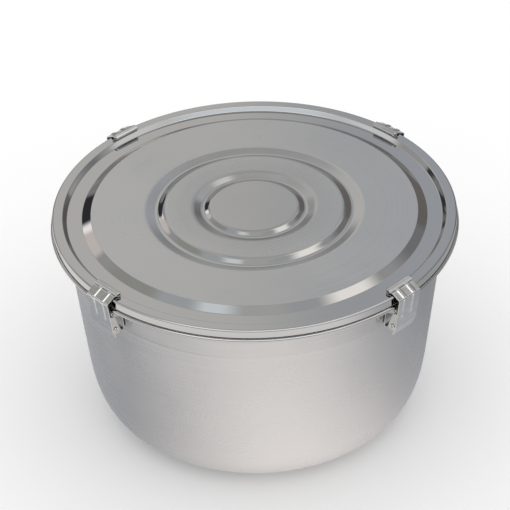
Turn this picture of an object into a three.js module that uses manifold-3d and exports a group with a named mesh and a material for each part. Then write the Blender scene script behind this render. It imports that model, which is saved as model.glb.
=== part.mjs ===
// Round stainless-steel food canister: a drawn pot, a pressed lid with its silicone gasket, and four
// over-centre sheet-metal latches. Millimetres, +Z up, origin at the centre of the pot's base.
// Each latch is drawn in its own frame: +X points away from the canister's axis, Y runs along the
// rim and Z is up, so a section is a list of (radius, height) points.
import * as THREE from 'three';
import { mergeVertices } from 'three/addons/utils/BufferGeometryUtils.js';
import Module from 'manifold-3d';

const wasm = await Module();
wasm.setup();

// Driving dimensions
const LID_TOP = 228; // height of the lid's main panel above the floor
const SHEET = 1; // thickness of every pressed sheet
const GAP = 0.3; // clearance between pieces that touch or turn on each other
const FACETS = 60; // flats round the pot, lid and gasket
const LATCHES = 4;
const FIRST_LATCH = -Math.PI / 4; // the first latch's direction, between +X and -Y

const POT = {
  floorRadius: 90,
  wallFoot: 170, // where the line of the leaning wall would meet the floor
  wallLean: 0.092, // radius that the wall gains for each millimetre of height
  cornerRise: 89, // how far up the wall the bottom corner reaches
  cornerPower: 3.95, // superellipse power of the bottom corner
  cornerSteps: 7,
  creaseHeight: 183.2, // a faint step in the wall below the neck
  creaseStep: 0.8,
  neckRadius: 190,
  neckHeight: 212,
  brimUnderside: 217.4, // the flat brim that the gasket rests on
  beadRadius: 201.9, // centre of the rolled edge
  beadInner: 1.1,
};

const LID = {
  discRadius: 45,
  discRise: 1.4, // central disc above the main panel
  innerGroove: { wallFoot: 50.5, floor: 52.5, outer: 60.5, depth: 1.9 },
  stepRise: 1.7, // flat between the two grooves
  outerGroove: { inner: 90.7, wallFoot: 97, floor: 99.5, outer: 109, depth: 2.3 },
  panelRadius: 162.5,
  gutterInner: 172.5,
  gutterOuter: 187.6,
  gutterDepth: 4.5,
  flangeInner: 192,
  flangeOuter: 200.4,
  skirtRadius: 202,
  skirtDepth: 8,
};

const CLIP = {
  width: 29,
  hem: { width: 31, radius: 1.25, x: 191.8, z: 2.4, endX: 195.2, footX: 194.6 }, // folded hook edge
  crown: { x: 198.2, z: 2.3 }, // the top plate's ridge, over the lid's flange
  bend: { radius: 2, x: 205.5, z: -3.7, from: 62.7, to: -7.5 },
  knee: { x: 203.2, z: -37 }, // the leaning front panel turns inward just below its pin
  lip: { x: 198.9, z: -47.7 },
  rib: { width: 5, offset: 6.2, height: 0.8, startX: 196.4, startZ: 1.7, endZ: -27 },
  ear: [[205.6, -19], [200.5, -20.5], [194, -38], [195.8, -41], [201.2, -41.5], [203.2, -37]],
};

const BRACKET = {
  width: 28,
  top: { x: 190.4, z: -15.6 },
  bottom: { x: 188.5, z: -39.5 },
  foot: { x: 190.4, z: -41.5 },
  lugOffset: 11,
  lugRadius: 2.9,
};

const LINK = { width: 20, barrelRadius: 2.5, armWidth: 5.5 };
const PIN = { radius: 1.5, headRadius: 2.6, headHeight: 1, sides: 12 };
const BRACKET_PIN = new THREE.Vector2(200.6, -19.3); // pivot between bracket and link
const CLIP_PIN = new THREE.Vector2(199.8, -35.5); // pivot between link and clip

// Materials
const steel = (colour, roughness) =>
  new THREE.MeshStandardMaterial({ color: colour, roughness, metalness: 1 });
const potSteel = steel(0xc6c2bf, 0.32);
const lidSteel = steel(0xb4b4b2, 0.28);
const clipSteel = steel(0xb9bbbd, 0.25);
const bracketSteel = steel(0xa9abae, 0.35);
const pinSteel = steel(0xd0d0d0, 0.2);
const silicone = new THREE.MeshStandardMaterial({ color: 0x8d9298, roughness: 0.7, metalness: 0 });

// Points along an arc in a section, from one angle to another in degrees.
function arcPoints(x, z, radius, fromDegrees, toDegrees, steps) {
  const points = [];
  for (let i = 0; i <= steps; i += 1) {
    const angle = THREE.MathUtils.degToRad(fromDegrees + ((toDegrees - fromDegrees) * i) / steps);
    points.push(new THREE.Vector2(x + radius * Math.cos(angle), z + radius * Math.sin(angle)));
  }
  return points;
}

const toVectors = (pairs) => pairs.map(([x, z]) => new THREE.Vector2(x, z));

// A path moved sideways by a distance, to its left when positive, with mitred corners.
function offsetPath(path, distance) {
  const leftOf = (from, to) => {
    const along = to.clone().sub(from).normalize();
    return new THREE.Vector2(-along.y, along.x);
  };
  return path.map((point, i) => {
    const before = leftOf(path[Math.max(i - 1, 0)], path[Math.max(i, 1)]);
    const after = leftOf(path[Math.min(i, path.length - 2)], path[Math.min(i + 1, path.length - 1)]);
    const mitre = before.clone().add(after).normalize();
    return point.clone().addScaledVector(mitre, distance / mitre.dot(after));
  });
}

// The closed outline of a sheet whose faces lie at two distances from a path.
function sheetOutline(path, nearSide, farSide) {
  return [...offsetPath(path, nearSide), ...offsetPath(path, farSide).reverse()];
}

// A ring or cup turned about the canister's axis from a closed section of (radius, height) points.
function turned(outline) {
  const anticlockwise = THREE.ShapeUtils.area(outline) > 0;
  const section = anticlockwise ? [...outline] : [...outline].reverse();
  if (!anticlockwise && section[0].x > 0) section.unshift(section.pop());
  const onAxis = outline.some((point) => point.x === 0);
  if (!onAxis) section.push(section[0].clone());
  const geometry = new THREE.LatheGeometry(section, FACETS);
  geometry.rotateX(Math.PI / 2);
  return geometry;
}

// A closed section in (radius, height), drawn out along the rim between two places.
function drawnOut(outline, fromY, toY) {
  const geometry = new THREE.ExtrudeGeometry(new THREE.Shape(outline), {
    depth: toY - fromY,
    bevelEnabled: false,
    steps: 1,
  });
  geometry.rotateX(Math.PI / 2);
  geometry.translate(0, toY, 0);
  return geometry;
}

// A round bar along the rim direction, centred on a pivot of the latch's section.
function bar(pivot, radius, fromY, toY, sides = PIN.sides) {
  const geometry = new THREE.CylinderGeometry(radius, radius, toY - fromY, sides);
  geometry.translate(pivot.x, (fromY + toY) / 2, pivot.y);
  return geometry;
}

function toSolid(geometry) {
  const bare = geometry.clone();
  bare.deleteAttribute('normal');
  bare.deleteAttribute('uv');
  const merged = mergeVertices(bare, 1e-4);
  return new wasm.Manifold(new wasm.Mesh({
    numProp: 3,
    vertProperties: merged.attributes.position.array,
    triVerts: new Uint32Array(merged.index.array),
  }));
}

function toGeometry(solid) {
  const mesh = solid.getMesh();
  const geometry = new THREE.BufferGeometry();
  geometry.setAttribute('position', new THREE.BufferAttribute(mesh.vertProperties, 3));
  geometry.setIndex(new THREE.BufferAttribute(mesh.triVerts, 1));
  geometry.computeVertexNormals();
  return geometry;
}

// The pieces joined into one body, less the cuts.
function joined(pieces, cuts = []) {
  let solid = toSolid(pieces[0]);
  for (const piece of pieces.slice(1)) solid = solid.add(toSolid(piece));
  for (const cut of cuts) solid = solid.subtract(toSolid(cut));
  return toGeometry(solid);
}

// The same piece on both sides of the latch's middle.
function mirrored(makePiece, innerY, outerY) {
  return [makePiece(innerY, outerY), makePiece(-outerY, -innerY)];
}

// The drawn pot: flat floor, soft bottom corner, tapered wall, crease, neck, brim and rolled edge.
function potBody() {
  const outside = [new THREE.Vector2(0, 0)];
  const upWall = new THREE.Vector2(POT.wallLean, 1).normalize();
  for (let i = 0; i <= POT.cornerSteps; i += 1) {
    const turn = (Math.PI / 2) * (i / POT.cornerSteps);
    const reach = Math.sin(turn) ** (2 / POT.cornerPower);
    const climb = POT.cornerRise * (1 - Math.cos(turn) ** (2 / POT.cornerPower));
    outside.push(new THREE.Vector2(
      POT.floorRadius + (POT.wallFoot - POT.floorRadius) * reach + climb * upWall.x,
      climb * upWall.y,
    ));
  }
  const creaseRadius = POT.wallFoot + POT.wallLean * POT.creaseHeight;
  outside.push(
    new THREE.Vector2(creaseRadius, POT.creaseHeight),
    new THREE.Vector2(creaseRadius + POT.creaseStep, POT.creaseHeight + 1.5 * POT.creaseStep),
    new THREE.Vector2(POT.neckRadius, POT.neckHeight),
    ...arcPoints(POT.neckRadius + 2, POT.brimUnderside - 2, 2, 180, 90, 2),
    ...arcPoints(POT.beadRadius, POT.brimUnderside - POT.beadInner, POT.beadInner, 90, -90, 3),
    new THREE.Vector2(POT.beadRadius - 1.8, POT.brimUnderside - 2 * POT.beadInner),
  );
  return turned(sheetOutline(outside, 0, SHEET));
}

// The pressed lid, from its central disc out over two ring grooves and the gutter to the skirt.
function lid() {
  const inner = LID.innerGroove;
  const outer = LID.outerGroove;
  const top = toVectors([
    [0, LID.discRise],
    [LID.discRadius, LID.discRise],
    [inner.wallFoot, -inner.depth],
    [inner.floor, -inner.depth],
    [inner.outer, LID.stepRise],
    [outer.inner, LID.stepRise],
    [outer.wallFoot, -outer.depth],
    [outer.floor, -outer.depth],
    [outer.outer, 0],
    [LID.panelRadius, 0],
    [LID.gutterInner, -LID.gutterDepth],
    [LID.gutterOuter, -LID.gutterDepth],
    [LID.gutterOuter + 2.4, -1.6],
    [LID.flangeInner, 0],
    [LID.flangeOuter, 0],
    [LID.skirtRadius - 0.5, -0.5],
    [LID.skirtRadius, -1.8],
    [LID.skirtRadius, -LID.skirtDepth],
  ]);
  const geometry = turned(sheetOutline(top, 0, -SHEET));
  geometry.translate(0, 0, LID_TOP);
  return geometry;
}

// A silicone ring that fills the channel under the lid's flange and rests on the pot's brim.
function gasket() {
  const outline = toVectors([
    [193.6, -SHEET - 0.4],
    [200.4, -SHEET - 0.6],
    [200.6, -9.2],
    [190.2, -9.2],
    [190.4, -6.6],
  ]);
  const geometry = turned(outline);
  geometry.translate(0, 0, LID_TOP);
  return geometry;
}

// The middle line of the hook's folded edge, which rests over the lid's flange.
function hemPath() {
  const { hem } = CLIP;
  return [
    new THREE.Vector2(hem.endX, hem.z + hem.radius),
    ...arcPoints(hem.x, hem.z, hem.radius, 90, 270, 6),
    new THREE.Vector2(hem.footX, hem.z - hem.radius),
  ];
}

// The clip's bend at the rim, from the top plate to the front panel.
function bendPoints() {
  const { bend } = CLIP;
  return arcPoints(bend.x, bend.z, bend.radius, bend.from, bend.to, 3);
}

// The middle line of the rest of the clip's sheet, over the rim and down to the lip.
function clipPath() {
  const { hem, crown, knee, lip } = CLIP;
  return [
    new THREE.Vector2(hem.x + 0.6, hem.z - hem.radius),
    new THREE.Vector2(hem.footX, hem.z - hem.radius),
    new THREE.Vector2(crown.x, crown.z),
    ...bendPoints(),
    new THREE.Vector2(knee.x, knee.z),
    new THREE.Vector2(lip.x, lip.z),
  ];
}

// The part of the clip's path that carries the pressed ribs.
function ribPath() {
  const { crown, knee, rib } = CLIP;
  const bent = bendPoints();
  const foot = bent[bent.length - 1];
  const along = (rib.endZ - foot.y) / (knee.z - foot.y);
  return [
    new THREE.Vector2(rib.startX, rib.startZ),
    new THREE.Vector2(crown.x, crown.z),
    ...bent,
    new THREE.Vector2(foot.x + along * (knee.x - foot.x), rib.endZ),
  ];
}

// The clip: hook, top plate, front panel and lip in one sheet, with two ribs and two folded ears.
function clip() {
  const half = CLIP.width / 2;
  const { hem, rib } = CLIP;
  const hook = drawnOut(sheetOutline(hemPath(), SHEET / 2, -SHEET / 2), -hem.width / 2, hem.width / 2);
  const sheet = drawnOut(sheetOutline(clipPath(), SHEET / 2, -SHEET / 2), -half, half);
  const ribSection = sheetOutline(ribPath(), SHEET / 2 + rib.height, 0);
  const ribs = mirrored(
    (fromY, toY) => drawnOut(ribSection, fromY, toY),
    rib.offset - rib.width / 2,
    rib.offset + rib.width / 2,
  );
  const ears = mirrored(
    (fromY, toY) => drawnOut(toVectors(CLIP.ear), fromY, toY),
    half - SHEET,
    half,
  );
  const hole = bar(CLIP_PIN, PIN.radius + GAP, -half - 1, half + 1);
  return joined([hook, sheet, ...ribs, ...ears], [hole]);
}

// The bracket: a plate spot-welded to the neck, with a turned-out foot and two lugs for the pin.
function bracket() {
  const { top, bottom, foot, lugOffset, lugRadius } = BRACKET;
  const half = BRACKET.width / 2;
  const back = toVectors([[top.x, top.z], [bottom.x, bottom.z], [foot.x, foot.z]]);
  const plate = drawnOut(sheetOutline(back, 0, SHEET), -half, half);
  const lugSection = [
    new THREE.Vector2(bottom.x + 1.3, -26.5),
    ...arcPoints(BRACKET_PIN.x, BRACKET_PIN.y, lugRadius, -70, 90, 6),
    new THREE.Vector2(top.x + SHEET / 2, top.z),
  ];
  const lugs = mirrored(
    (fromY, toY) => drawnOut(lugSection, fromY, toY),
    lugOffset - SHEET / 2,
    lugOffset + SHEET / 2,
  );
  return joined([plate, ...lugs], [bar(BRACKET_PIN, PIN.radius + GAP, -half, half)]);
}

// The link: two barrels round the pins, joined by two arms.
function link() {
  const half = LINK.width / 2;
  const barrels = [BRACKET_PIN, CLIP_PIN].map((pivot) => bar(pivot, LINK.barrelRadius, -half, half));
  const armSection = sheetOutline([BRACKET_PIN, CLIP_PIN], SHEET * 0.6, -SHEET * 0.6);
  const arms = mirrored((fromY, toY) => drawnOut(armSection, fromY, toY), half - LINK.armWidth, half);
  const bores = [BRACKET_PIN, CLIP_PIN].map((pivot) => bar(pivot, PIN.radius + GAP, -half - 1, half + 1));
  return joined([...barrels, ...arms], bores);
}

// A riveted pin with a head at each end, just outside the piece that carries it.
function pin(pivot, faceY) {
  const headFoot = faceY + GAP;
  const headTop = headFoot + PIN.headHeight;
  const heads = mirrored((fromY, toY) => bar(pivot, PIN.headRadius, fromY, toY), headFoot, headTop);
  return joined([bar(pivot, PIN.radius, -headTop + 0.1, headTop - 0.1), ...heads]);
}

function named(name, geometry, material) {
  const mesh = new THREE.Mesh(geometry, material);
  mesh.name = name;
  return mesh;
}

const canister = new THREE.Group();
canister.add(
  named('pot_body', potBody(), potSteel),
  named('lid', lid(), lidSteel),
  named('lid_gasket', gasket(), silicone),
);

for (let i = 1; i <= LATCHES; i += 1) {
  const latch = new THREE.Group();
  latch.position.z = LID_TOP;
  latch.rotation.z = FIRST_LATCH + ((i - 1) * 2 * Math.PI) / LATCHES;
  latch.add(
    named(`bracket_${i}`, bracket(), bracketSteel),
    named(`bracket_pin_${i}`, pin(BRACKET_PIN, BRACKET.lugOffset + SHEET / 2), pinSteel),
    named(`link_${i}`, link(), bracketSteel),
    named(`clip_${i}`, clip(), clipSteel),
    named(`clip_pin_${i}`, pin(CLIP_PIN, CLIP.width / 2), pinSteel),
  );
  canister.add(latch);
}

export default canister;
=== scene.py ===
"""Looks for a round stainless-steel food canister: smooth pressed shells, latches, steels, studio."""

import math

import bmesh
import bpy
from mathutils import Matrix, Vector


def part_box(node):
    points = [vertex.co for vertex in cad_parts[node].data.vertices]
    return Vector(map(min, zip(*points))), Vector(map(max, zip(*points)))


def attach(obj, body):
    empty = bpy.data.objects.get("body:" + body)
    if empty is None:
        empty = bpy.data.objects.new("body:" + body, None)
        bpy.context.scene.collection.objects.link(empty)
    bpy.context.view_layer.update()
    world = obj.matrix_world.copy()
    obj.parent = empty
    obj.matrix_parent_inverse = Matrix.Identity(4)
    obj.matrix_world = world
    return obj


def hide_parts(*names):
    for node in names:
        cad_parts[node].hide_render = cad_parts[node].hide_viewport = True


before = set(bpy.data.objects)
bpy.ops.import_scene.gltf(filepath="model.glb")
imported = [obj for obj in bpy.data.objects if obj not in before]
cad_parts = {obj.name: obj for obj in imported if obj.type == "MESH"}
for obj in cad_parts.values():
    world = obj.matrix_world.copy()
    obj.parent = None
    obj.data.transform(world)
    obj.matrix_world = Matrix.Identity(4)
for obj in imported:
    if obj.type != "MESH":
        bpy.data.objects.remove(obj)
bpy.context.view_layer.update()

# --- Sizes in metres, worked out from the frame where the frame has them -----------------
MM = 0.001
SHEET = 1 * MM  # thickness of every pressed sheet
AROUND = 192  # facets round the turned pieces
ON_AXIS = 1e-7  # a point nearer to the axis than this lies on it, and so counts as one place
LATCHES = 4
FIRST_LATCH = -math.pi / 4  # the first latch's direction, between +X and -Y

lid_low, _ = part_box("lid")
SKIRT_DEPTH = 8 * MM
LID_TOP = lid_low.z + SKIRT_DEPTH  # height of the lid's main panel


def mm(*values):
    """A point given in millimetres."""
    return Vector([value * MM for value in values])


# --- Section paths: lists of (point, left-hand normal, polish) ---------------------------
def left_normal(start, end):
    """The plane unit vector to the left of the way from start to end."""
    along = (end - start).normalized()
    return Vector((-along.y, along.x))


def turned_by(vector, angle):
    """A plane vector turned anticlockwise by an angle."""
    cosine, sine = math.cos(angle), math.sin(angle)
    return Vector((vector.x * cosine - vector.y * sine, vector.x * sine + vector.y * cosine))


def signed_turn(before, after):
    """The anticlockwise angle from one plane vector to another."""
    return math.atan2(before.x * after.y - before.y * after.x, before.dot(after))


def filleted(corners, closed=False, steps=6):
    """A path through corners of (radius, height, fillet, polish), in millimetres, with round corners.

    A corner's polish holds for the stretch that starts there.
    """
    points = [mm(corner[0], corner[1]) for corner in corners]
    fillets = [corner[2] * MM for corner in corners]
    polish = [corner[3] if len(corner) > 3 else 0.5 for corner in corners]
    count = len(corners)
    path = []
    inner = range(count) if closed else range(1, count - 1)
    if not closed:
        path.append((points[0], left_normal(points[0], points[1]), polish[0]))
    for i in inner:
        previous, point, following = points[i - 1], points[i], points[(i + 1) % count]
        before = left_normal(previous, point)
        after = left_normal(point, following)
        turn = signed_turn(before, after)
        tangent = abs(math.tan(turn / 2))
        room = 0.49 * min((point - previous).length, (following - point).length)
        setback = min(fillets[i] * tangent, room)
        if setback < 1e-6 or tangent < 1e-4:
            path.append((point, (before + after).normalized(), polish[i]))
            continue
        radius = setback / tangent
        side = 1 if turn > 0 else -1
        centre = point + (previous - point).normalized() * setback + before * radius * side
        for step in range(steps + 1):
            normal = turned_by(before, turn * step / steps)
            shine = polish[i - 1] if step < steps / 2 else polish[i]
            path.append((centre - normal * radius * side, normal, shine))
    if not closed:
        path.append((points[-1], left_normal(points[-2], points[-1]), polish[-1]))
    return path


def sheet_outline(path, above, below, steps=6):
    """The outline of a sheet round a path that starts on the axis, with a round free edge."""
    front = [(point + normal * above, normal, shine) for point, normal, shine in path]
    back = [(point - normal * below, -normal, shine) for point, normal, shine in reversed(path)]
    point, normal, shine = path[-1]
    middle = point + normal * (above - below) / 2
    half = (above + below) / 2
    edge = []
    for step in range(1, steps):
        direction = turned_by(normal, -math.pi * step / steps)
        edge.append((middle + direction * half, direction, shine))
    return front + edge + back


def smoothstep(low, high, value):
    """0 below low, 1 above high, and an even S-curve between them."""
    share = min(max((value - low) / (high - low), 0), 1)
    return share * share * (3 - 2 * share)


def subdivided(path, longest):
    """The same path with no step longer than a limit."""
    finer = [path[0]]
    for before, after in zip(path, path[1:]):
        count = max(1, math.ceil((after[0] - before[0]).length / longest))
        for step in range(1, count + 1):
            share = step / count
            place = before[0].lerp(after[0], share)
            normal = before[1].lerp(after[1], share).normalized()
            finer.append((place, normal, after[2]))
    return finer


def arc(centre, radius, start, end, steps):
    """Points round a centre, from one angle to another in degrees, with the radius in millimetres."""
    angles = [math.radians(start + (end - start) * step / steps) for step in range(steps + 1)]
    return [centre + Vector((math.cos(angle), math.sin(angle))) * radius * MM for angle in angles]


# --- Mesh building -----------------------------------------------------------------------
def add_object(name, mesh):
    """A new object in the scene, showing a mesh."""
    piece = bpy.data.objects.new(name, mesh)
    bpy.context.scene.collection.objects.link(piece)
    return piece


def revolved(name, outline, closed=False, around=AROUND):
    """A mesh turned about Z from an outline, with exact normals and its polish as an attribute."""
    vertices, normals, polish, rings = [], [], [], []
    for point, normal, shine in outline:
        on_axis = point.x < ON_AXIS
        ring = []
        for j in range(1 if on_axis else around):
            angle = 2 * math.pi * j / around
            cosine, sine = math.cos(angle), math.sin(angle)
            ring.append(len(vertices))
            vertices.append((point.x * cosine, point.x * sine, point.y))
            flat = 0 if on_axis else normal.x
            normals.append(Vector((flat * cosine, flat * sine, normal.y)).normalized())
            polish.append(shine)
        rings.append(ring)
    faces = []
    pairs = list(zip(rings, rings[1:]))
    if closed:
        pairs.append((rings[-1], rings[0]))
    for first, second in pairs:
        for j in range(around):
            k = (j + 1) % around
            if len(first) == 1 and len(second) == 1:
                continue
            if len(first) == 1:
                faces.append((first[0], second[j], second[k]))
            elif len(second) == 1:
                faces.append((first[j], second[0], first[k]))
            else:
                faces.append((first[j], second[j], second[k], first[k]))
    mesh = bpy.data.meshes.new(name)
    mesh.from_pydata(vertices, [], faces)
    mesh.shade_smooth()
    mesh.normals_split_custom_set_from_vertices(normals)
    layer = mesh.attributes.new("polish", "FLOAT", "POINT")
    layer.data.foreach_set("value", polish)
    return mesh


def finished(piece, bevel=0.0, angle=35, segments=2):
    """The piece's mesh with its edges softened and its normals weighted by face area."""
    if bevel:
        soften = piece.modifiers.new("soften", "BEVEL")
        soften.width = bevel
        soften.segments = segments
        soften.limit_method = "ANGLE"
        soften.angle_limit = math.radians(angle)
    weigh = piece.modifiers.new("weigh", "WEIGHTED_NORMAL")
    weigh.keep_sharp = False
    piece.data.shade_smooth()
    depsgraph = bpy.context.evaluated_depsgraph_get()
    mesh = bpy.data.meshes.new_from_object(piece.evaluated_get(depsgraph))
    old = piece.data
    bpy.data.objects.remove(piece)
    bpy.data.meshes.remove(old)
    return mesh


def bent_sheet(path, half_width, corners=(0, 0), lift=None, columns=58):
    """A sheet drawn out along the rim (Y) from its middle path, with round corners and pressed ribs."""
    lengths = [0.0]
    for (before, _, _), (after, _, _) in zip(path, path[1:]):
        lengths.append(lengths[-1] + (after - before).length)
    total = lengths[-1]
    vertices, faces = [], []
    rows = []
    for (point, normal, _), run in zip(path, lengths):
        narrow = 0.0
        for corner, distance in zip(corners, (run, total - run)):
            if corner and distance < corner:
                narrow = max(narrow, corner - math.sqrt(max(corner**2 - (corner - distance) ** 2, 0)))
        rows.append((point, normal, run, half_width - narrow))
    for side in (1, -1):
        for point, normal, run, half in rows:
            for column in range(columns + 1):
                y = half * (2 * column / columns - 1)
                rise = lift(run, y) if lift else 0.0
                place = point + normal * (side * SHEET / 2 + rise)
                vertices.append((place.x, y, place.y))
    width = columns + 1
    layer = len(rows) * width

    def corner_of(side, row, column):
        return side * layer + row * width + column

    for row in range(len(rows) - 1):
        for column in range(columns):
            top = [corner_of(0, row, column), corner_of(0, row + 1, column)]
            top += [corner_of(0, row + 1, column + 1), corner_of(0, row, column + 1)]
            faces.append(top)
            faces.append([index + layer for index in reversed(top)])
        for column, flip in ((0, False), (columns, True)):
            edge = [corner_of(0, row, column), corner_of(1, row, column)]
            edge += [corner_of(1, row + 1, column), corner_of(0, row + 1, column)]
            faces.append(edge[::-1] if flip else edge)
    for column in range(columns):
        for row, flip in ((0, True), (len(rows) - 1, False)):
            edge = [corner_of(0, row, column), corner_of(1, row, column)]
            edge += [corner_of(1, row, column + 1), corner_of(0, row, column + 1)]
            faces.append(edge[::-1] if flip else edge)
    mesh = bpy.data.meshes.new("sheet")
    mesh.from_pydata(vertices, [], faces)
    fix_faces(mesh)
    return mesh


def fix_faces(mesh):
    """Merges corners in one place and turns every face outward."""
    work = bmesh.new()
    work.from_mesh(mesh)
    bmesh.ops.remove_doubles(work, verts=work.verts, dist=1e-7)
    bmesh.ops.recalc_face_normals(work, faces=work.faces)
    work.to_mesh(mesh)
    work.free()


def prism(outline, from_y, to_y):
    """A plate of a closed (radius, height) outline in metres, between two places along the rim."""
    work = bmesh.new()
    rings = []
    for y in (from_y, to_y):
        rings.append([work.verts.new((point.x, y, point.y)) for point in outline])
    for first, second in zip(range(len(outline)), [*range(1, len(outline)), 0]):
        work.faces.new((rings[0][first], rings[0][second], rings[1][second], rings[1][first]))
    work.faces.new(rings[0])
    work.faces.new(rings[1])
    bmesh.ops.recalc_face_normals(work, faces=work.faces)
    mesh = bpy.data.meshes.new("plate")
    work.to_mesh(mesh)
    work.free()
    return mesh


def round_bar(pivot, profile, around=40):
    """A mesh turned about the Y axis through a pivot, from (radius, place along Y) in millimetres.

    The places run from -Y to +Y, which leaves the faces pointing inward.
    """
    mesh = revolved("bar", filleted(profile, steps=4), around=around)
    tip = Matrix.Rotation(math.radians(-90), 4, "X")
    mesh.transform(Matrix.Translation((pivot.x, 0, pivot.y)) @ tip)
    return mesh


def combined(meshes, cuts=()):
    """The union of closed meshes, less the cuts, as one temporary object.

    A cut takes metal away only if its faces point outward.
    """
    base = add_object("work", meshes[0])
    steps = [(mesh, "UNION") for mesh in meshes[1:]] + [(mesh, "DIFFERENCE") for mesh in cuts]
    for mesh, operation in steps:
        other = add_object("tool", mesh)
        boolean = base.modifiers.new("join", "BOOLEAN")
        boolean.operation = operation
        boolean.solver = "EXACT"
        boolean.object = other
        depsgraph = bpy.context.evaluated_depsgraph_get()
        result = bpy.data.meshes.new_from_object(base.evaluated_get(depsgraph))
        base.modifiers.clear()
        base.data = result
        bpy.data.objects.remove(other)
    return base


# --- Node graphs -------------------------------------------------------------------------
class Graph:
    """A short way to add shader nodes to a node tree."""

    def __init__(self, tree):
        self.tree = tree
        tree.nodes.clear()

    def node(self, kind, inputs=None, **settings):
        """A new node, with its settings and with each input linked to a socket or set to a value."""
        made = self.tree.nodes.new(kind)
        for key, value in settings.items():
            setattr(made, key, value)
        for key, value in (inputs or {}).items():
            if isinstance(value, bpy.types.NodeSocket):
                self.tree.links.new(value, made.inputs[key])
            else:
                made.inputs[key].default_value = value
        return made

    def math(self, operation, first, second=0.0, clamp=False):
        values = {0: first, 1: second}
        return self.node("ShaderNodeMath", values, operation=operation, use_clamp=clamp).outputs[0]

    def smooth(self, value, low, high, start=0.0, end=1.0):
        """A smooth step of a value, from start at low to end at high."""
        values = {"Value": value, "From Min": low, "From Max": high, "To Min": start, "To Max": end}
        made = self.node("ShaderNodeMapRange", values, interpolation_type="SMOOTHSTEP")
        return made.outputs["Result"]

    def mix(self, factor, first, second):
        """A colour between two others, the second where the factor is 1."""
        values = {"Factor": factor, "A": first, "B": second}
        made = self.node("ShaderNodeMix", data_type="RGBA")
        for key, value in values.items():
            sockets = [socket for socket in made.inputs if socket.name == key and socket.enabled]
            if isinstance(value, bpy.types.NodeSocket):
                self.tree.links.new(value, sockets[0])
            else:
                sockets[0].default_value = value
        return [socket for socket in made.outputs if socket.enabled][0]

    def noise(self, vector, scale, detail=2.0, roughness=0.5):
        """Even noise round 0.5, with its scale in cycles per unit of the vector."""
        values = {"Vector": vector, "Scale": scale, "Detail": detail, "Roughness": roughness}
        return self.node("ShaderNodeTexNoise", values).outputs["Fac"]

    def vector(self, x, y, z):
        return self.node("ShaderNodeCombineXYZ", {0: x, 1: y, 2: z}).outputs[0]


def colour(red, green, blue):
    """An opaque colour, as the nodes' inputs take it."""
    return (red, green, blue, 1.0)


def darker(base, share):
    """A colour whose three parts are a share of another's."""
    return colour(*(part * share for part in base))


def from_axis(graph, parts):
    """The distance from the canister's axis of a place given by its separate coordinates."""
    across = graph.vector(parts.outputs[0], parts.outputs[1], 0.0)
    return graph.node("ShaderNodeVectorMath", {0: across}, operation="LENGTH").outputs["Value"]


def spun_steel(name, base, satin, mirror, stretch, lines):
    """Steel worked round the canister's axis: fine ring lines, drifts of tone, painted shade darkening
    the middle, and polish by attribute.

    The roughness goes from satin, where the polish is 0, to mirror, where it is 1. Stretch is how far
    the ring lines draw the highlights out, and lines is how deep they are.
    """
    material = bpy.data.materials.new(name)
    material.use_nodes = True
    graph = Graph(material.node_tree)
    place = graph.node("ShaderNodeTexCoord").outputs["Object"]
    parts = graph.node("ShaderNodeSeparateXYZ", {0: place})
    radius = from_axis(graph, parts)
    # Ring lines need a coordinate that goes round without a seam, so they use the direction itself.
    direction = graph.node("ShaderNodeVectorMath", {0: place}, operation="NORMALIZE").outputs[0]
    spread = graph.node("ShaderNodeSeparateXYZ", {0: direction})

    def ring_lines(per_metre, drift, detail):
        """Noise that varies quickly outward and upward and slowly round the axis."""
        stretched = graph.vector(
            graph.math("MULTIPLY", radius, per_metre),
            graph.math("MULTIPLY", parts.outputs[2], per_metre),
            drift,
        )
        return graph.noise(stretched, 1.0, detail, 0.5)

    fine = ring_lines(480.0, graph.math("MULTIPLY", spread.outputs[0], 3.0), 1.0)
    coarse = ring_lines(260.0, graph.math("MULTIPLY", spread.outputs[1], 2.0), 2.0)
    cloud = graph.noise(place, 14.0, 3.0, 0.5)
    smudge = graph.noise(place, 24.0, 1.0, 0.5)
    polish = graph.node("ShaderNodeAttribute", attribute_name="polish").outputs["Fac"]
    level = graph.math("MULTIPLY_ADD", polish, mirror - satin)
    level.node.inputs[2].default_value = satin
    rough = graph.math("MULTIPLY", level, graph.smooth(cloud, 0.3, 0.7, 0.85, 1.15))
    rough = graph.math("MULTIPLY", rough, graph.smooth(fine, 0.3, 0.7, 0.92, 1.08))
    rough = graph.math("MULTIPLY", rough, graph.smooth(smudge, 0.5, 0.75, 1.0, 1.08))
    # The drifts are strongest on satin metal; the middle is painted darker, a painted shade for the
    # dimmer reflection in the lid's centre disc.
    drifts = graph.smooth(cloud, 0.3, 0.7, 0.7, 1.0)
    tone = graph.math("MULTIPLY", drifts, graph.smooth(fine, 0.3, 0.7, 0.85, 1.0))
    # Painted shade: the tone falls off towards the axis.
    tone = graph.math("MULTIPLY", tone, graph.smooth(radius, 0.048, 0.115, 0.2, 1.0))
    tone = graph.math("MULTIPLY", tone, graph.smooth(polish, 0.0, 1.0, 1.0, 0.2))
    tint = graph.mix(tone, darker(base, 0.80), colour(*base))
    bump = graph.node(
        "ShaderNodeBump",
        {"Height": coarse, "Strength": 0.1 * lines, "Distance": 0.00008},
    ).outputs[0]
    tangent = graph.node("ShaderNodeTangent", direction_type="RADIAL", axis="Z").outputs[0]
    shader = graph.node(
        "ShaderNodeBsdfPrincipled",
        {
            "Base Color": tint,
            "Metallic": 1.0,
            "Roughness": rough,
            "Anisotropic": stretch,
            "Anisotropic Rotation": 0.25,
            "Normal": bump,
            "Tangent": tangent,
        },
    )
    graph.node("ShaderNodeOutputMaterial", {"Surface": shader.outputs[0]})
    return material


ROLLING_GRAIN = (40, 1200, 1200)  # noise per metre along and across the rolled sheet's grain


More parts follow.
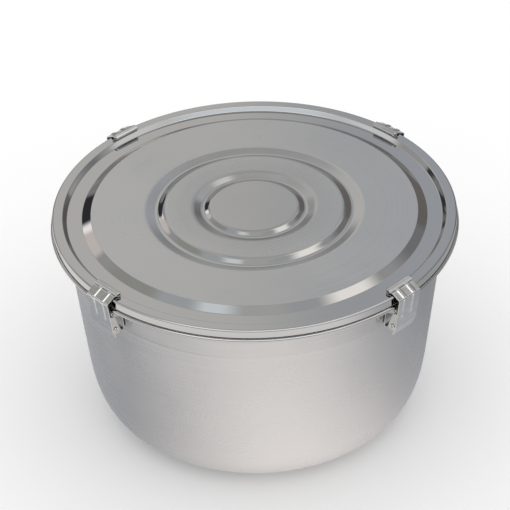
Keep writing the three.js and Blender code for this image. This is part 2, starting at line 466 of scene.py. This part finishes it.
def rolled_steel(name, base, roughness):
    """Bright rolled sheet: straight grain, faint scratches and a little variation in gloss."""
    material = bpy.data.materials.new(name)
    material.use_nodes = True
    graph = Graph(material.node_tree)
    place = graph.node("ShaderNodeTexCoord").outputs["Object"]
    stretched = graph.node("ShaderNodeMapping", {"Vector": place, "Scale": ROLLING_GRAIN}).outputs[0]
    fine = graph.noise(stretched, 1.0, 3.0, 0.6)
    cloud = graph.noise(place, 160.0, 3.0, 0.5)
    rough = graph.math("MULTIPLY", roughness, graph.smooth(cloud, 0.3, 0.7, 0.8, 1.25))
    tint = graph.mix(graph.smooth(cloud, 0.3, 0.7), darker(base, 0.9), colour(*base))
    bump = graph.node(
        "ShaderNodeBump", {"Height": fine, "Strength": 0.06, "Distance": 0.00008}
    ).outputs[0]
    shader = graph.node(
        "ShaderNodeBsdfPrincipled",
        {"Base Color": tint, "Metallic": 1.0, "Roughness": rough, "Normal": bump},
    )
    graph.node("ShaderNodeOutputMaterial", {"Surface": shader.outputs[0]})
    return material


def silicone(name):
    """Food-grade silicone: milky, soft sheen, faint mould grain and dust."""
    material = bpy.data.materials.new(name)
    material.use_nodes = True
    graph = Graph(material.node_tree)
    place = graph.node("ShaderNodeTexCoord").outputs["Object"]
    cloud = graph.noise(place, 60.0, 3.0, 0.5)
    grain = graph.noise(place, 2500.0, 2.0, 0.5)
    tint = graph.mix(cloud, colour(0.50, 0.51, 0.52), colour(0.62, 0.62, 0.61))
    bump = graph.node(
        "ShaderNodeBump", {"Height": grain, "Strength": 0.15, "Distance": 0.00005}
    ).outputs[0]
    shader = graph.node(
        "ShaderNodeBsdfPrincipled",
        {
            "Base Color": tint,
            "Roughness": graph.smooth(cloud, 0.3, 0.7, 0.45, 0.6),
            "Subsurface Weight": 0.2,
            "Subsurface Radius": (0.002, 0.002, 0.002),
            "Normal": bump,
        },
    )
    graph.node("ShaderNodeOutputMaterial", {"Surface": shader.outputs[0]})
    return material


pot_steel = spun_steel(
    "pot_steel", (0.685, 0.675, 0.668), satin=0.34, mirror=0.06, stretch=0.6, lines=0.4
)
lid_steel = spun_steel(
    "lid_steel", (0.655, 0.655, 0.652), satin=0.28, mirror=0.03, stretch=0.8, lines=0.5
)
clip_steel = rolled_steel("clip_steel", (0.70, 0.70, 0.69), 0.13)
bracket_steel = rolled_steel("bracket_steel", (0.62, 0.62, 0.61), 0.22)
pin_steel = rolled_steel("pin_steel", (0.74, 0.73, 0.71), 0.14)
gasket_silicone = silicone("gasket_silicone")


def placed(name, mesh, material, replaced):
    """A finished piece, shown in place of a CAD node."""
    mesh.name = name
    mesh.materials.clear()
    mesh.materials.append(material)
    piece = add_object(name, mesh)
    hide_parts(replaced)
    return piece


# --- Pot ---------------------------------------------------------------------------------
BOTTOM_POLISH = 0.25


def bottom_corner(floor_end, wall_foot, wall_rise, wall_slope, power, steps=28):
    """The pot's bottom corner, from the flat floor round to the leaning wall, as path points."""
    points = []
    wall = Vector((wall_slope, 1)).normalized()
    inward = Vector((-1, 0))
    for step in range(steps + 1):
        turn = math.pi / 2 * step / steps
        along_floor = math.cos(turn) ** (2 / power)
        along_wall = math.sin(turn) ** (2 / power)
        reach = (wall_foot - floor_end) * (1 - along_wall)
        rise = wall_rise * (1 - along_floor)
        place = Vector((wall_foot, 0)) + inward * reach + wall * rise
        floor_pull = along_wall ** (power - 1) / (wall_foot - floor_end)
        wall_pull = along_floor ** (power - 1) / wall_rise
        # The gradient in floor and wall coordinates, turned into the section's own axes.
        normal = Vector((-floor_pull, (wall_pull + floor_pull * wall.x) / wall.y)).normalized()
        points.append((place * MM, normal, BOTTOM_POLISH))
    return points


def pot():
    """The drawn pot: flat floor, soft corner, leaning wall, a crease below the neck, rolled brim."""
    path = [(Vector((0, 0)), Vector((0, 1)), BOTTOM_POLISH)]
    path += bottom_corner(floor_end=90, wall_foot=170, wall_rise=89, wall_slope=0.092, power=3.95)
    path += filleted([
        (181.04, 120, 0, 0.25),
        (186.85, 183.2, 1.5, 0.3),
        (187.65, 184.4, 1.5, 0.45),
        (190, 212, 6, 0.6),
        (190, 217.4, 2, 0.8),
        (203, 217.4, 1.1, 1.0),
        (203, 215.2, 1.1, 1.0),
        (200.1, 215.2, 0, 0.9),
    ])
    outline = sheet_outline(path, SHEET, 0)
    piece = placed("pot_shell", revolved("pot", outline), pot_steel, "pot_body")
    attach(piece, "pot")


def lid():
    """The pressed lid, from its disc over two ring grooves and the gutter to the flange and skirt."""
    profile = [
        (0, 1.4, 0, 0.55),
        (44.6, 1.4, 9, 0.9),
        (50.4, -1.6, 6, 0.8),
        (53.4, -1.4, 6, 0.5),
        (62, 1.7, 16, 0.2),
        (90, 1.7, 12, 0.9),
        (96.8, -2.1, 6, 0.8),
        (99.8, -2.1, 6, 0.6),
        (109, 0, 18, 0.2),
        (163.2, 0, 1.6, 1.0),
        (172.5, -4.5, 2, 1.0),
        (187.6, -4.5, 1.4, 0.8),
        (191.2, 0, 1.4, 0.9),
        (202, 0, 2, 0.8),
        (202, -8, 0, 0.9),
    ]
    lifted = [(r, z + LID_TOP / MM, fillet, polish) for r, z, fillet, polish in profile]
    outline = sheet_outline(filleted(lifted), 0, SHEET)
    piece = placed("lid_shell", revolved("lid", outline), lid_steel, "lid")
    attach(piece, "lid")


def gasket():
    """The silicone ring in the channel under the lid's flange."""
    top = LID_TOP / MM
    section = [
        (193.6, top - 1.4, 0.5),
        (200.4, top - 1.6, 0.6),
        (200.6, top - 9.2, 0.6),
        (190.2, top - 9.2, 0.5),
        (190.4, top - 6.6, 0.8),
    ]
    mesh = revolved("gasket", filleted(section, closed=True), closed=True)
    piece = placed("gasket_ring", mesh, gasket_silicone, "lid_gasket")
    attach(piece, "lid")


# --- Latches, each in its own frame: X away from the axis, Y along the rim, Z from LID_TOP -
CLIP_HALF = 14.5 * MM
HEM_HALF = 15.6 * MM  # the hook's folded edge is a little wider than the clip
BRACKET_PIN = mm(200.6, -19.3)
CLIP_PIN = mm(199.8, -35.5)
RIB_HEIGHT = 0.8 * MM
RIB_OFFSET = 6.2 * MM  # from the clip's middle to each rib's


def pin_hole(pivot):
    """A tool for a pin's hole.

    Its faces point inward, so it marks the hole's circle on the metal and doesn't cut through.
    """
    reach, radius = 20, 1.8
    return round_bar(pivot, [(0, -reach, 0), (radius, -reach, 0), (radius, reach, 0), (0, reach, 0)])


def plates(outline, inner, outer, bevel):
    """Two like plates of a closed outline, one on each side of the latch's middle."""
    made = []
    for side in (-1, 1):
        low, high = sorted((side * inner, side * outer))
        made.append(finished(add_object("plate", prism(outline, low, high)), bevel))
    return made


def ribbed_sheet():
    """The clip's sheet from the hem over the crown, down the front and in to the lip, with two ribs."""
    path = subdivided(filleted([
        (192.4, 1.15, 0),
        (195.2, 1.25, 2),
        (198.2, 2.3, 3),
        (207.7, -2.6, 2),
        (203.2, -37, 4),
        (198.9, -47.7, 0),
    ], steps=8), 1.2 * MM)

    def ribs(run, y):
        start, end = 3.6 * MM, 41 * MM
        fade = smoothstep(start, start + 1.6 * MM, run) * (1 - smoothstep(end - 4 * MM, end, run))
        across = abs(abs(y) - RIB_OFFSET)
        shape = 1 - smoothstep(1.7 * MM, 2.6 * MM, across)
        return RIB_HEIGHT * fade * shape

    sheet = bent_sheet(path, CLIP_HALF, (0, 3 * MM), ribs)
    return finished(add_object("sheet", sheet), 0.4 * MM, 60)


def folded_hem():
    """The hook's folded edge, a flat loop with a raised line round its top and rounded nose corners."""
    fold = [
        (point, turned_by(Vector((0, 1)), math.pi * step / 10), 0)
        for step, point in enumerate(arc(mm(191.8, 2.4), 1.25, 90, 270, 10))
    ]
    start, mouth = mm(197.4, 3.05), mm(195.4, 3.6)
    path = [(start, left_normal(mouth, start), 0), (mouth, Vector((0, 1)), 0), *fold]
    path.append((mm(194.8, 1.15), Vector((0, -1)), 0))
    top_start = (mouth - start).length
    top_end = top_start + (fold[0][0] - mouth).length + 0.4 * MM

    def bead(run, y):
        """A fine raised line round the flat top of the folded edge."""
        if not top_start <= run <= top_end:
            return 0.0
        edge = min(run - top_start, top_end - run, HEM_HALF - abs(y))
        return 0.35 * MM * math.sin(math.pi * min(edge / (1.7 * MM), 1)) ** 2

    mesh = bent_sheet(subdivided(path, 0.28 * MM), HEM_HALF, lift=bead, columns=96)
    nose, corner = 190.05 * MM, 3 * MM
    for vertex in mesh.vertices:
        inset = corner - min(max(vertex.co.x - nose, 0), corner)
        vertex.co.y *= 1 - (corner - math.sqrt(corner**2 - inset**2)) / HEM_HALF
    return finished(add_object("hem", mesh), 0.2 * MM, 60)


def clip_mesh():
    """The clip: its sheet, its hem and its two folded ears as one piece."""
    ear = [mm(*corner) for corner in (
        (205.6, -19),
        (199.8, -20.5),
        (193.6, -38.5),
        (195.4, -41.3),
        (201.2, -41.5),
        (203.2, -37),
    )]
    ears = plates(ear, CLIP_HALF - SHEET, CLIP_HALF, 0.3 * MM)
    return finished(combined([ribbed_sheet(), folded_hem(), *ears], [pin_hole(CLIP_PIN)]))


def bracket_mesh():
    """The bracket: a plate on the pot's neck, a turned-out foot, and two lugs for the pin."""
    path = subdivided(filleted([
        (191.4, -15.6, 0),
        (189.5, -39.5, 1.5),
        (191.4, -41.5, 0),
    ]), 2 * MM)
    middle = [(point - normal * SHEET / 2, normal, shine) for point, normal, shine in path]
    sheet = bent_sheet(middle, 14 * MM, (2 * MM, 1 * MM), columns=28)
    plate = finished(add_object("sheet", sheet), 0.25 * MM, 60)
    lug = [mm(190.4, -26.5), *arc(BRACKET_PIN, 2.9, -70, 90, 10), mm(190.9, -15.9)]
    lugs = plates(lug, 10.5 * MM, 11.5 * MM, 0.2 * MM)
    return finished(combined([plate, *lugs], [pin_hole(BRACKET_PIN)]))


def link_mesh():
    """The link: a barrel round each pin, joined by two arms."""
    half, radius, corner = 10, 2.5, 0.4
    barrel = [(0, -half, 0), (radius, -half, corner), (radius, half, corner), (0, half, 0)]
    barrels = [round_bar(pin, barrel) for pin in (BRACKET_PIN, CLIP_PIN)]
    along = (CLIP_PIN - BRACKET_PIN).normalized()
    side = Vector((-along.y, along.x)) * 0.6 * MM
    outline = [BRACKET_PIN + side, BRACKET_PIN - side, CLIP_PIN - side, CLIP_PIN + side]
    arms = plates(outline, 4.5 * MM, half * MM, 0.2 * MM)
    return finished(combined([*barrels, *arms], [pin_hole(BRACKET_PIN), pin_hole(CLIP_PIN)]))


def pin_mesh(pivot, face):
    """A riveted pin with a hollow, turned-over head at each end."""
    foot, top = face + 0.3, face + 1.3
    half = [
        (0, 2.4 - top, 0),
        (1.15, 2.4 - top, 0.1),
        (1.2, 0.35 - top, 0.1),
        (1.7, -top, 0.2),
        (2.2, -top, 0.4),
        (2.6, 0.5 - top, 0.4),
        (2.6, -foot, 0.1),
        (1.5, -foot, 0.1),
    ]
    other = [(radius, -along, fillet) for radius, along, fillet in reversed(half)]
    return round_bar(pivot, half + other)


def latches():
    """Four like latches round the rim, each in its own place in the CAD's order."""
    pieces = [
        ("clip", clip_mesh(), clip_steel, "clip", "clip_steel"),
        ("bracket", bracket_mesh(), bracket_steel, "pot", "bracket_steel"),
        ("link", link_mesh(), bracket_steel, "link", "bracket_steel"),
        ("bracket_pin", pin_mesh(BRACKET_PIN, 11.5), pin_steel, "pot", "pin_steel"),
        ("clip_pin", pin_mesh(CLIP_PIN, 14.5), pin_steel, "clip", "pin_steel"),
    ]
    for number in range(1, LATCHES + 1):
        turn = FIRST_LATCH + (number - 1) * 2 * math.pi / LATCHES
        place = Matrix.Rotation(turn, 4, "Z") @ Matrix.Translation((0, 0, LID_TOP))
        for kind, mesh, material, body, slot in pieces:
            node = f"{kind}_{number}"
            piece = placed(f"{kind}_shape_{number}", mesh.copy(), material, node)
            piece.matrix_world = place
            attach(piece, body if body == "pot" else f"{body}_{number}")


pot()
lid()
gasket()
latches()

# --- Studio ------------------------------------------------------------------------------
# Directions are given as an azimuth, from straight behind the canister round to the right, and a height
# above the horizon, in degrees. Each window is (left, right, bottom, top, softness, colour).
BACKDROP = (1.05, 1.05, 1.05)  # what the camera and the diffuse light see
STUDIO_BASE = (0.46, 0.46, 0.46)  # what steel mirrors outside the windows
STUDIO_WINDOWS = [
    (-200, -110, 54, 74, 3, (2.3, 2.3, 2.3)),
    (110, 200, 54, 74, 3, (2.3, 2.3, 2.3)),
    (-200, -110, 40, 54, 3, (0.93, 0.98, 1.02)),
    (110, 200, 40, 54, 3, (0.93, 0.98, 1.02)),
    (-200, -85, 18, 40, 5, (0.93, 0.93, 0.95)),
    (85, 200, 18, 40, 5, (0.93, 0.93, 0.95)),
    (-200, -80, -4, 13, 4, (0.10, 0.12, 0.13)),
    (80, 200, -4, 13, 4, (0.10, 0.12, 0.13)),
    (-180, 180, 66, 95, 6, (0.57, 0.57, 0.56)),
    (-120, -60, 72, 83, 4, (0.92, 0.97, 1.02)),
    (45, 120, 69, 82, 4, (0.50, 0.51, 0.53)),
    (28, 95, 54.5, 69, 4, (1.3, 1.25, 1.2)),
    (-110, -50, 59.5, 72, 4, (0.53, 0.56, 0.58)),
    (-110, -47, 42.5, 59.5, 3, (0.42, 0.42, 0.39)),
    (-20, 1, 20, 46, 4, (0.70, 0.69, 0.67)),
    (1, 16, 20, 46, 4, (0.50, 0.52, 0.56)),
    (18, 75, 15, 42, 6, (0.26, 0.26, 0.27)),
    (14, 45, -8, 26, 2, (0.20, 0.185, 0.175)),
    (20, 34, 34, 62, 4, (0.66, 0.66, 0.66)),
    (-36, -20, 34, 68, 4, (0.66, 0.66, 0.66)),
    (-57, -34, 20, 35.5, 1.5, (0.84, 0.77, 0.73)),
    (-39, -34, 18, 27, 1, (1.35, 1.3, 1.28)),
    (-60, -22, 9, 21.5, 1.5, (0.04, 0.04, 0.045)),
    (-60, -12, -8, 9, 2, (0.28, 0.28, 0.29)),
    (-17, -5.5, 5, 24, 2, (0.31, 0.31, 0.31)),
    (4.5, 15, 5, 25, 3, (0.31, 0.31, 0.31)),
]


def studio_world():
    """A plain pale backdrop, which steel mirrors as soft windows in a grey room."""
    world = bpy.data.worlds.new("studio")
    bpy.context.scene.world = world
    world.use_nodes = True
    graph = Graph(world.node_tree)
    direction = graph.node("ShaderNodeTexCoord").outputs["Generated"]
    parts = graph.node("ShaderNodeSeparateXYZ", {0: direction})
    azimuth = graph.math("DEGREES", graph.math("ARCTAN2", parts.outputs[0], parts.outputs[1]))
    height = graph.math("DEGREES", graph.math("ARCSINE", parts.outputs[2]))
    tone = colour(*STUDIO_BASE)
    for left, right, bottom, top, soft, shade in STUDIO_WINDOWS:
        share = graph.math(
            "MULTIPLY",
            graph.smooth(azimuth, left - soft, left + soft),
            graph.smooth(azimuth, right - soft, right + soft, 1.0, 0.0),
        )
        share = graph.math("MULTIPLY", share, graph.smooth(height, bottom - soft, bottom + soft))
        share = graph.math("MULTIPLY", share, graph.smooth(height, top - soft, top + soft, 1.0, 0.0))
        tone = graph.mix(share, tone, colour(*shade))
    glossy = graph.node("ShaderNodeLightPath").outputs["Is Glossy Ray"]
    seen = graph.mix(glossy, colour(*BACKDROP), tone)
    shader = graph.node("ShaderNodeBackground", {"Color": seen, "Strength": 1.0})
    graph.node("ShaderNodeOutputWorld", {"Surface": shader.outputs[0]})
    world.cycles.sampling_method = "NONE"


def floor():
    """A white table. Glossy rays see instead a glowing card painted with reflected light and shade:
    bright in front and greyer round the sides and back, with a painted contact shadow at the pot's foot
    and a painted highlight band for the lid's skirt.
    """
    half = 6.0
    mesh = bpy.data.meshes.new("floor")
    corners = [(-half, -half, 0), (half, -half, 0), (half, half, 0), (-half, half, 0)]
    mesh.from_pydata(corners, [], [(0, 1, 2, 3)])
    table = add_object("floor", mesh)
    material = bpy.data.materials.new("floor")
    material.use_nodes = True
    graph = Graph(material.node_tree)
    place = graph.node("ShaderNodeNewGeometry").outputs["Position"]
    parts = graph.node("ShaderNodeSeparateXYZ", {0: place})
    minus_y = graph.math("MULTIPLY", parts.outputs[1], -1.0)
    angle = graph.math("DEGREES", graph.math("ARCTAN2", parts.outputs[0], minus_y))
    radius = from_axis(graph, parts)
    # The card is a painted reflection: further out it is cooler and its bright side lies further left.
    # The pot's neck mirrors the zone beyond 0.36 m and the lid's skirt the zone beyond 0.4 m.
    far = graph.smooth(radius, 0.24, 0.30)
    neck = graph.smooth(radius, 0.36, 0.375)
    shift = graph.math("ADD", graph.smooth(far, 0, 1, 14, 6), graph.smooth(neck, 0, 1, 0, -18))
    side = graph.math("SUBTRACT", angle, shift)
    away = graph.math("ABSOLUTE", side)
    cool = colour(0.455, 0.465, 0.49)
    warm = graph.mix(far, colour(1.09, 1.045, 1.02), colour(0.97, 0.95, 0.935))
    warm = graph.mix(neck, warm, colour(0.87, 0.86, 0.85))
    shade = graph.mix(graph.smooth(away, 3, 80), warm, cool)
    # Painted shade: a darker band on the right side of the reflection.
    right = graph.math("MULTIPLY", graph.smooth(side, 72, 105), graph.smooth(side, 115, 160, 1, 0))
    shade = graph.mix(right, shade, colour(0.34, 0.35, 0.37))
    # Painted contact shadow: the card is darker close to the pot's foot.
    shade = graph.mix(graph.smooth(radius, 0.10, 0.19), colour(0.36, 0.37, 0.385), shade)
    # Painted highlight: a bright band where the lid's skirt mirrors the card, fading round the sides.
    skirt = graph.smooth(radius, 0.405, 0.42)
    skirt = graph.math("MULTIPLY", skirt, graph.smooth(side, 45, 75, 1, 0.2))
    skirt = graph.math("MULTIPLY", skirt, graph.smooth(side, -150, -110, 0.2, 1))
    shade = graph.mix(skirt, shade, colour(1.0, 0.97, 0.95))
    # The card glows only for glossy rays, a painted reflection; the camera and diffuse light see plain
    # white paper.
    painted_reflection_card = graph.node("ShaderNodeEmission", {"Color": shade, "Strength": 1.0})
    paper = graph.node("ShaderNodeBsdfDiffuse", {"Color": colour(0.97, 0.97, 0.97)})
    glossy = graph.node("ShaderNodeLightPath").outputs["Is Glossy Ray"]
    both = graph.node(
        "ShaderNodeMixShader", {0: glossy, 1: paper.outputs[0], 2: painted_reflection_card.outputs[0]}
    )
    graph.node("ShaderNodeOutputMaterial", {"Surface": both.outputs[0]})
    material.cycles.emission_sampling = "NONE"
    mesh.materials.append(material)


def camera():
    """The view from the front, 36 degrees down, through a long lens held a little askew."""
    turn = math.radians(1.2)
    swing = Matrix.Rotation(turn, 3, "Z")
    stand = swing @ Vector((0, -1.62006, LID_TOP + 1.11115))
    aim = swing @ Vector((-0.0005, 0, LID_TOP - 0.05997))
    roll = math.radians(-1.4125)
    forward = (aim - stand).normalized()
    level = forward.cross(Vector((0, 0, 1))).normalized()
    upright = level.cross(forward)
    right = level * math.cos(roll) + upright * math.sin(roll)
    up = upright * math.cos(roll) - level * math.sin(roll)
    data = bpy.data.cameras.new("camera")
    data.sensor_fit = "HORIZONTAL"
    data.sensor_width = 36
    data.lens = 138.8
    data.clip_end = 50
    view = bpy.data.objects.new("camera", data)
    bpy.context.scene.collection.objects.link(view)
    view.matrix_world = Matrix.Translation(stand) @ Matrix((right, up, -forward)).transposed().to_4x4()
    bpy.context.scene.camera = view


studio_world()
floor()
camera()
bpy.context.scene.view_settings.view_transform = "Standard"
